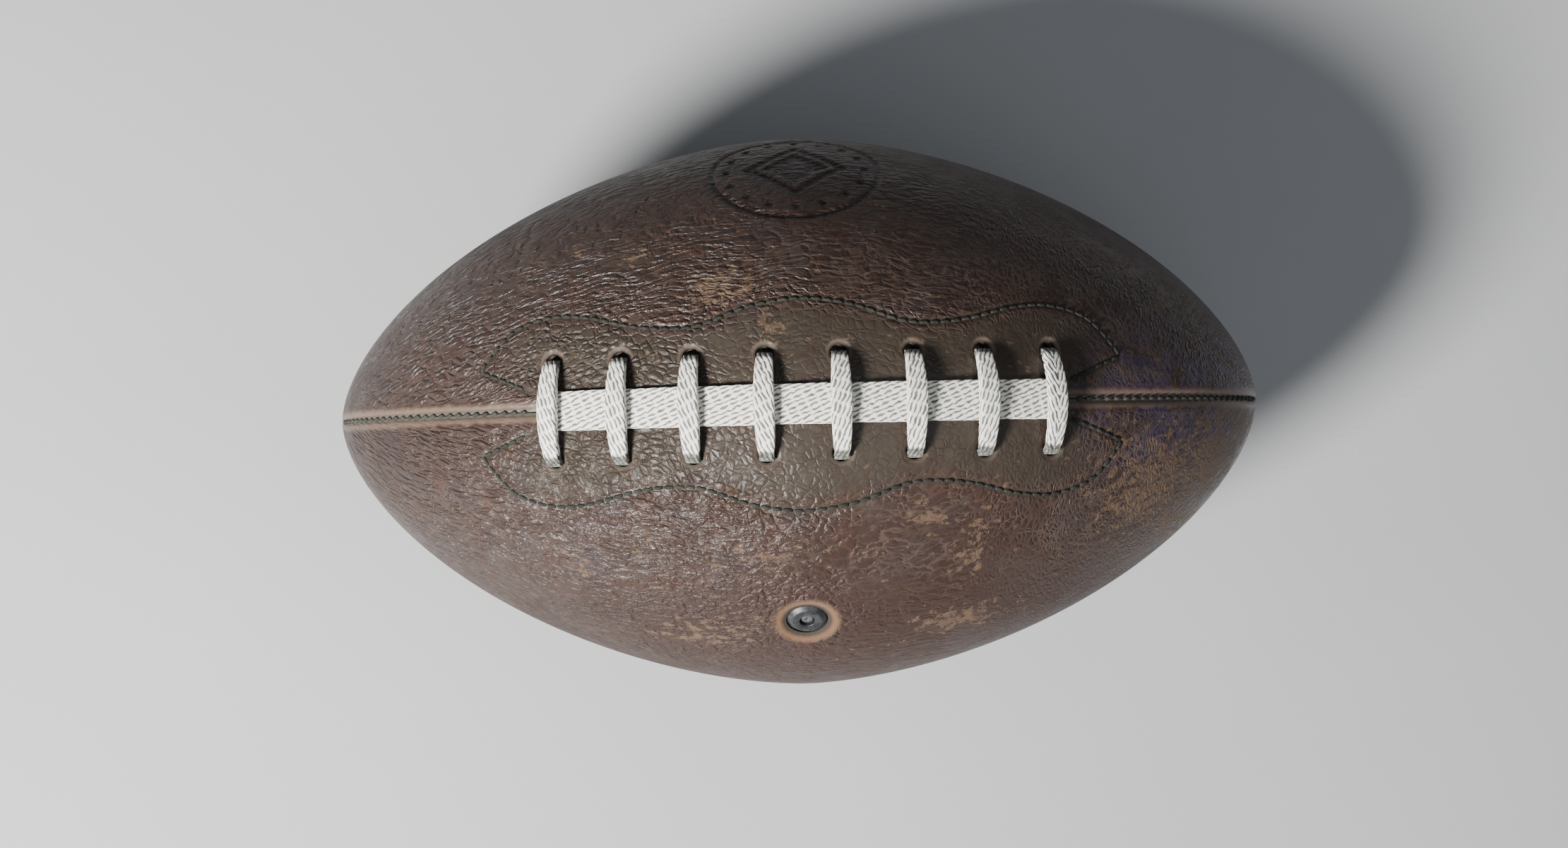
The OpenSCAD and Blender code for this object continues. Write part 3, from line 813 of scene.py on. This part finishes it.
def bead(length, thick, dip, twist=1.1, around=20, stations=15):
    """One stitch of twisted thread along X, with its ends turned down into the leather. Returns points and faces."""
    t = np.sin(np.linspace(-math.pi / 2, math.pi / 2, stations)) * 0.995
    angle = np.arange(around) * 2 * math.pi / around
    body = np.power(1 - np.abs(t) ** 3.2, 0.42)
    ridge = 1 + 0.10 * np.cos(STRANDS * (angle[None, :] - twist * 2 * t[:, None]))
    r = thick / 2 * body[:, None] * ridge
    x = np.broadcast_to((t * length / 2)[:, None], r.shape)
    z = r * np.sin(angle)[None, :] * 0.9 - dip * (np.abs(t) ** 3)[:, None]
    rings = np.stack([x, r * np.cos(angle)[None, :], z], axis=-1)
    ends = [rings[0].mean(axis=0), rings[-1].mean(axis=0)]
    return np.concatenate([rings.reshape(-1, 3), ends]), tube_faces(stations, around)


def place_beads(name, places, length, thick, dip):
    """One object of many stitches of slightly uneven size. Each place is (centre, direction, outward normal)."""
    points, faces = bead(length, thick, dip)
    parts = []
    for i, (centre, ahead, out) in enumerate(places):
        ahead = ahead / np.linalg.norm(ahead)
        side = np.cross(out, ahead)
        side /= np.linalg.norm(side)
        out = np.cross(ahead, side)
        slack = 1 + 0.05 * math.sin(i * 2.4) + 0.03 * math.sin(i * 5.1)
        parts.append((centre + (points * slack) @ np.stack([ahead, side, out]), faces))
    return join(name, parts)


# Each seam's angle from the lacing in degrees, and where its thread starts and ends along the leather
TO_TIP = ARC_TO_TIP - SEAM_END
SEAM_THREADS = [("seam_thread_top_left", 0, -TO_TIP, -LACING_SEAM_START),
                ("seam_thread_top_right", 0, LACING_SEAM_START, TO_TIP),
                ("seam_thread_bottom", 180, -TO_TIP, TO_TIP),
                ("seam_thread_valve_side", -90, -TO_TIP, TO_TIP),
                ("seam_thread_medallion_side", 90, -TO_TIP, TO_TIP)]


def thread_material(name, dark, light):
    n = Nodes(name)
    place = n.place()
    strands = n.noise(place, 2600.0, 3.0, 0.6)
    blotch = n.noise(place, 160.0, 3.0)
    colour = n.tint(n.step(n.plus(n.times(strands, 0.5), n.times(blotch, 0.6)), 0.38, 0.72), dark, light)
    return n.surface(colour, n.plus(0.68, n.times(strands, 0.2)), n.times(strands, 0.00009), 0.3)


def seam_places(degrees, start, end, lift):
    """Evenly spaced stitches in a seam, each slanted a little across it."""
    count = int((end - start) / SEAM_PITCH)
    first = (start + end - count * SEAM_PITCH) / 2
    turn = math.radians(degrees)
    places = []
    for i in range(count + 1):
        x = float(along(first + i * SEAM_PITCH))
        ahead, _, out = np.array(seat(x, turn).to_3x3()).T
        places.append((on_leather(x, turn, lift), ahead + np.cross(out, ahead) * SEAM_BEAD_SLANT, out))
    return places


def facing_places(side, lift):
    """Evenly spaced stitches along a facing's outline."""
    path = on_leather(*facing_path(side), lift)
    steps = lengths(path)
    places = []
    for i in range(int(steps[-1] / FACING_PITCH)):
        cuts = (i + 0.5) * FACING_PITCH + np.array([-1.2, 0, 1.2]) * MM
        before, middle, after = np.stack([np.interp(cuts, steps, path[:, k]) for k in range(3)], axis=1)
        out = on_leather(middle[0], math.atan2(middle[1], middle[2]), 1.0) - middle
        places.append((middle, after - before, out / np.linalg.norm(out)))
    return places


def make_stitches():
    waxed = thread_material("waxed_seam_thread", (0.016, 0.017, 0.014), (0.050, 0.052, 0.043))
    rope = thread_material("waxed_facing_thread", (0.010, 0.010, 0.008), (0.032, 0.031, 0.025))
    for name, degrees, start, end in SEAM_THREADS:
        *size, lift = SEAM_BEAD
        obj = place_beads("visual_" + name, seam_places(degrees, start, end, lift), *size)
        finish_piece(obj, waxed, name)
    for name, side in (("facing_stitches_valve_side", -1), ("facing_stitches_medallion_side", 1)):
        *size, lift = FACING_BEAD
        obj = place_beads("visual_" + name, facing_places(side, lift), *size)
        finish_piece(obj, rope, name)


# ---- laces

YARN_ANGLE = math.radians(25)
BAND_YARN_ANGLE = math.radians(68)
CHEVRON_ANGLE = math.radians(27)
YARN_PITCH = 1.26
BAND_YARN_PITCH = 1.25
YARN_PUFF = 0.20
BAND_PUFF = 0.15


def weave(u, v, angle, pitch, seed, dash=3.0):
    """A woven tape's surface at (u across, v along) in millimetres: 1 in the middle of a yarn and 0 in the gaps.
    The yarns run at an angle to the tape, and each shows as dashes."""
    c, s = math.cos(angle), math.sin(angle)
    wobble = 0.10 * np.sin(1.9 * v + seed) + 0.08 * np.sin(3.3 * u + 1.3 * v + 2 * seed)
    line = (u * c + v * s) / pitch + wobble
    number = np.floor(line)
    inside = line - number
    run = (v * c - u * s) / dash + 0.5 * number + 0.21 * np.sin(12.9 * number + seed)
    part = np.abs(run - np.floor(run) - 0.5) * 2
    gap = np.exp(-((np.minimum(inside, 1 - inside)) / 0.23) ** 2)
    broken = 0.45 + 0.55 * smooth_step(np.sin(2 * math.pi * run + 3.1 * np.sin(7.7 * number)), -1.0, -0.2)
    knot = np.exp(-((1 - part) / 0.12) ** 2) * 0.22
    return 1 - np.clip(np.maximum(gap * broken, knot * (1 - gap)), 0, 1)


def section(count, half_width, half_height, power):
    """Evenly spaced points round a rounded rectangle, the outward normal at each, and the distance round to each
    from the middle of its top."""
    a = np.linspace(0, 2 * math.pi, 4001)
    x = np.sign(np.cos(a)) * np.abs(np.cos(a)) ** (2 / power) * half_width
    y = np.sign(np.sin(a)) * np.abs(np.sin(a)) ** (2 / power) * half_height
    steps = lengths(np.stack([x, y], 1))
    even = np.arange(count) / count * steps[-1]
    x, y = np.interp(even, steps, x), np.interp(even, steps, y)
    normal = np.stack([np.sign(x) * (np.abs(x) / half_width) ** (power - 1) / half_width,
                       np.sign(y) * (np.abs(y) / half_height) ** (power - 1) / half_height], 1)
    normal /= np.linalg.norm(normal, axis=1)[:, None]
    return x, y, normal, even - even[count // 4]


# Which way each cross lace's yarns slant. The last one's meet in a chevron.
CROSS_LEAN = {1: -1, 2: -1, 3: -1, 4: -1, 5: 1, 6: 1, 7: 1, 8: 0}
CROSS_STATIONS = 250
CROSS_AROUND = 104
CROSS_THICK = 1.9
CROSS_HIGH = 5.0
LEG_BOTTOM = -7.5
LEG_POINTS = 25
VALVE_SIDE_REACH = 1.08
# Width of a cross lace by the distance from its middle
CROSS_WIDTH = ([0, 3, 6, 9, 12, 13.6], [5.9, 5.8, 5.55, 5.2, 4.75, 4.3])
LEG_WIDTH = 3.5


def cross_lace_path(x):
    """A cross lace's outer and inner line as (across, height) in millimetres, and the distance along to each point.
    It rises from inside one lace hole, passes over the long lace and goes down into the opposite hole."""
    bend = float(radius_at(x)) / math.cos(float(lean_at(x))) / MM
    reach = LACE_REACH / MM
    low_reach = reach - CROSS_THICK
    t = np.sin(np.linspace(-math.pi / 2, math.pi / 2, 150))
    top = CROSS_HIGH - 4.2 * t ** 2 - 1.4 * (1 - np.sqrt(np.clip(1 - np.abs(t) ** 16, 0, 1)))
    low_y = low_reach * t
    low = np.maximum(CROSS_HIGH - 2.7 - 4.2 * (low_y / reach) ** 2, 0.3 - low_y ** 2 / 2 / bend)
    low = low - 0.6 * np.abs(t) ** 12

    def with_legs(half, y, z, bottom):
        leg = np.linspace(bottom, z[0] - 0.2, LEG_POINTS + 1)[:-1]
        return np.stack([np.concatenate([np.full(LEG_POINTS, -half), y, np.full(LEG_POINTS, half)]),
                         np.concatenate([leg, z, leg[::-1]])], 1)

    outer = with_legs(reach, reach * t, top, LEG_BOTTOM)
    inner = with_legs(low_reach, low_y, low, LEG_BOTTOM - 0.1)
    steps = lengths((outer + inner) / 2)
    even = np.linspace(0, steps[-1], CROSS_STATIONS)
    lines = []
    for line in (outer, inner):
        line = np.stack([np.interp(even, steps, line[:, k]) for k in range(2)], 1)
        line[:, 0] = np.where(line[:, 0] < 0, line[:, 0] * VALVE_SIDE_REACH, line[:, 0])
        lines.append(line)
    return lines[0], lines[1], even


def cross_lace(number):
    """One cross lace: a flat tape with a slanted weave, narrower towards its holes."""
    x = lace_x(number)
    outer, inner, even = cross_lace_path(x)
    middle = (outer + inner) / 2
    thick = np.hypot(*(outer - inner).T)
    up = (outer - inner) / thick[:, None]
    v = even - even[-1] / 2
    width = np.where(middle[:, 1] < -1.2, LEG_WIDTH, np.interp(np.abs(middle[:, 0]), *CROSS_WIDTH))
    lean = CROSS_LEAN[number]
    rings = np.empty((CROSS_STATIONS, CROSS_AROUND, 3))
    yarn = np.empty((CROSS_STATIONS, CROSS_AROUND))
    for i in range(CROSS_STATIONS):
        sx, sz, normal, u = section(CROSS_AROUND, width[i] / 2, thick[i] / 2, 5.0)
        if lean:
            yarn[i] = weave(u, v[i] * lean, YARN_ANGLE, YARN_PITCH, number)
        else:
            yarn[i] = weave(np.abs(u), -v[i], CHEVRON_ANGLE, YARN_PITCH, number)
        puff = -YARN_PUFF * (1 - yarn[i])
        sx, sz = sx + normal[:, 0] * puff, sz + normal[:, 1] * puff
        rings[i, :, 0] = sx + 0.10 * math.sin(v[i] * 0.23 + number)
        rings[i, :, 1] = middle[i, 0] + up[i, 0] * sz
        rings[i, :, 2] = middle[i, 1] + up[i, 1] * sz
    matrix = np.array(seat(x, 0))
    obj = tube("visual_cross_lace_%d" % number, rings * MM @ matrix[:3, :3].T + matrix[:3, 3])
    # deep marks the ends going down into the holes, where the lace's material paints shade
    deep = np.repeat(smooth_step(np.abs(outer[:, 0]), 12.5, 13.5), CROSS_AROUND)
    set_values(obj, yarn=np.append(yarn.ravel(), [0, 0]), deep=np.append(deep, [1, 1]))
    return obj


BAND_END = 71.3
BAND_STATIONS = 620
BAND_AROUND = 136
BAND_HALF_WIDTH = 5.5
BAND_HALF_HEIGHT = 0.8
BAND_LIFT = 0.92


def lace_band():
    """The long lace: one flat tape along the seam, following the ball."""
    rings = np.empty((BAND_STATIONS, BAND_AROUND, 3))
    yarn = np.empty((BAND_STATIONS, BAND_AROUND))
    sx, sz, normal, u = section(BAND_AROUND, BAND_HALF_WIDTH, BAND_HALF_HEIGHT, 7.0)
    for i, at in enumerate(np.linspace(-BAND_END, BAND_END, BAND_STATIONS)):
        yarn[i] = weave(at, u, BAND_YARN_ANGLE, BAND_YARN_PITCH, 2.0)
        taper = min(1, (BAND_END - abs(at)) / 0.8 + 0.35)
        wave = 1 + 0.012 * math.sin(at * 0.31)
        puff = -BAND_PUFF * (1 - yarn[i])
        across = (sx * wave + normal[:, 0] * puff) * MM
        lift = (BAND_LIFT + (sz * 0.94 + normal[:, 1] * puff) * taper) * MM
        rings[i] = on_leather(at * MM, across / float(radius_at(at * MM)), lift)
    obj = tube("visual_lace_band", rings)
    set_values(obj, yarn=np.append(yarn.ravel(), [0, 0]), deep=np.zeros(yarn.size + 2))
    return obj


def lace_material():
    """White braided cotton with patches of soil, painted shade in the gaps between its yarns, and speckled dark grey
    painted shade where it goes down into the holes.
    """
    n = Nodes("braided_cotton_lace")
    yarn, place = n.value("yarn"), n.place()
    fibre = n.noise(n.wander(place, 900.0, 0.0006), 3800.0, 3.0, 0.7)
    soil = n.step(n.noise(place, 210.0, 5.0, 0.65), 0.48, 0.70)
    # painted shade in the gaps between the yarns
    gap = n.times(n.fall(yarn, 0.25, 0.88), n.plus(n.times(n.noise(place, 700.0, 3.0), 0.4), 0.66))
    # speckle in the painted shade where the lace goes down into a hole
    end_shade_speckle = n.step(n.noise(place, 1300.0, 3.0, 0.65), 0.44, 0.56, 0.80, 1.0)
    colour = n.paint(
        n.tint(n.noise(place, 90.0, 3.0), (0.98, 0.965, 0.90), (0.95, 0.93, 0.84)),
        (n.times(n.step(fibre, 0.42, 0.68), 0.16), (0.42, 0.39, 0.33)),
        (n.times(soil, 0.14), (0.45, 0.40, 0.32)),
        # painted shade between the yarns
        (gap, (0.045, 0.040, 0.029)),
        # painted shade where the lace goes down into a hole
        (n.times(n.value("deep"), end_shade_speckle, 0.96), (0.040, 0.041, 0.034)))
    height = n.plus(n.times(fibre, 0.00007), n.times(yarn, 0.00005))
    return n.surface(colour, n.plus(0.72, n.times(fibre, 0.16)), height, 0.3, Sheen_Weight=0.20, Sheen_Roughness=0.5)


def make_laces():
    braid = lace_material()
    for number in range(1, LACES + 1):
        finish_piece(cross_lace(number), braid, "cross_lace_%d" % number)
    finish_piece(lace_band(), braid, "lace_band")


# ---- valve

def rubber_material(name, dark, light, roughness):
    n = Nodes(name)
    place = n.place()
    dust = n.noise(place, 420.0, 5.0, 0.65)
    grit = n.noise(place, 3000.0, 3.0, 0.6)
    colour = n.tint(n.step(dust, 0.40, 0.70), dark, light)
    colour = n.tint(n.times(n.step(grit, 0.58, 0.72), 0.35), colour, (0.11, 0.105, 0.09))
    return n.surface(colour, n.plus(roughness, n.times(dust, 0.25)),
                     n.plus(n.times(grit, 0.00003), n.times(dust, 0.00006)))


# Turned outlines as (radius, height above the leather) in millimetres
HOUSING = [(2.15, -0.55), (4.25, -0.50), (5.72, -1.55), (5.75, -8.1), (13.9, -8.5), (13.9, -9.35), (4.3, -10.0),
           (4.3, -13.0), (2.15, -13.0)]
PLUG = [(0.25, -2.0), (0.42, -1.40), (1.70, -1.34), (1.72, -2.3), (2.03, -2.5), (2.03, -12.9), (1.0, -13.0),
        (0.35, -12.9)]


def make_valve():
    matrix = seat(0, VALVE_TURN)
    ring = lathe("visual_valve_housing", rounded(HOUSING, 0.32, 5), matrix, 128)
    black = rubber_material("black_butyl_valve", (0.012, 0.013, 0.015), (0.040, 0.042, 0.045), 0.30)
    finish_piece(ring, black, "valve_housing")
    button = lathe("visual_valve_plug", rounded(PLUG, 0.28, 4), matrix, 96)
    grey = rubber_material("grey_valve_plug", (0.055, 0.058, 0.062), (0.115, 0.118, 0.120), 0.38)
    finish_piece(button, grey, "valve_plug")


# ---- parts inside the cover, kept from the CAD model

def cloth_material(name, weft, warp, pitch):
    """A plain weave of a given pitch, with slubs and stains."""
    n = Nodes(name)
    place = n.place()
    yarns = [n.add("ShaderNodeTexWave", {"Vector": place, "Scale": 0.32 / pitch, "Distortion": 0.6}, out="Fac",
                   bands_direction=direction) for direction in "XY"]
    woven = n.most(*yarns)
    slub = n.noise(place, 0.4 / pitch, 4.0, 0.65)
    colour = n.tint(n.step(n.plus(n.times(woven, 0.6), n.times(slub, 0.5)), 0.3, 0.85), weft, warp)
    stain = n.step(n.noise(place, 45.0, 4.0), 0.50, 0.72)
    colour = n.tint(n.times(stain, 0.35), colour, (0.16, 0.12, 0.08))
    return n.surface(colour, n.plus(0.77, n.times(slub, 0.16)), n.times(woven, pitch * 0.2), 0.25)


def felt_material(name, dark, light):
    n = Nodes(name)
    place = n.place()
    fuzz = n.noise(n.wander(place, 300.0, 0.004), 1500.0, 5.0, 0.75)
    colour = n.tint(n.step(fuzz, 0.35, 0.68), dark, light)
    return n.surface(colour, n.plus(0.82, n.times(fuzz, 0.12)), n.times(fuzz, 0.0003), 0.2, Sheen_Weight=0.3)


def inner_lace_material():
    n = Nodes("inner_lace_run")
    place = n.place()
    yarns = n.add("ShaderNodeTexWave", {"Vector": place, "Scale": 330.0, "Distortion": 2.5, "Detail": 2.0}, out="Fac",
                  bands_direction="DIAGONAL")
    colour = n.tint(n.step(yarns, 0.10, 0.5), (0.25, 0.23, 0.19), (0.72, 0.69, 0.61))
    return n.surface(colour, n.plus(0.75, n.times(yarns, 0.1)), n.times(yarns, 0.00015))


def dress_inner_parts():
    cotton = cloth_material("cotton_lining", (0.34, 0.30, 0.23), (0.52, 0.47, 0.38), 0.9 * MM)
    canvas = cloth_material("canvas_patch", (0.24, 0.21, 0.16), (0.38, 0.34, 0.27), 1.2 * MM)
    facing = cloth_material("facing_canvas", (0.15, 0.135, 0.11), (0.27, 0.245, 0.20), 1.0 * MM)
    finishes = {"lining_laced_valve_side": cotton, "lining_laced_medallion_side": cotton,
                "lining_lower_valve_side": cotton, "lining_lower_medallion_side": cotton,
                "bladder": rubber_material("butyl_bladder", (0.020, 0.019, 0.020), (0.055, 0.052, 0.052), 0.45),
                "valve_patch": canvas, "lace_facing_valve_side": facing, "lace_facing_medallion_side": facing,
                "lace_guard": felt_material("guard_felt", (0.20, 0.17, 0.13), (0.42, 0.38, 0.31)),
                "lace_inner_runs": inner_lace_material()}
    for name, material in finishes.items():
        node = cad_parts[name]
        if not node.material_slots:
            node.data.materials.append(None)
        for slot in node.material_slots:
            slot.link = "OBJECT"
            slot.material = material


make_camera()
make_light()
make_floor()
make_panels()
make_stitches()
make_laces()
make_valve()
dress_inner_parts()
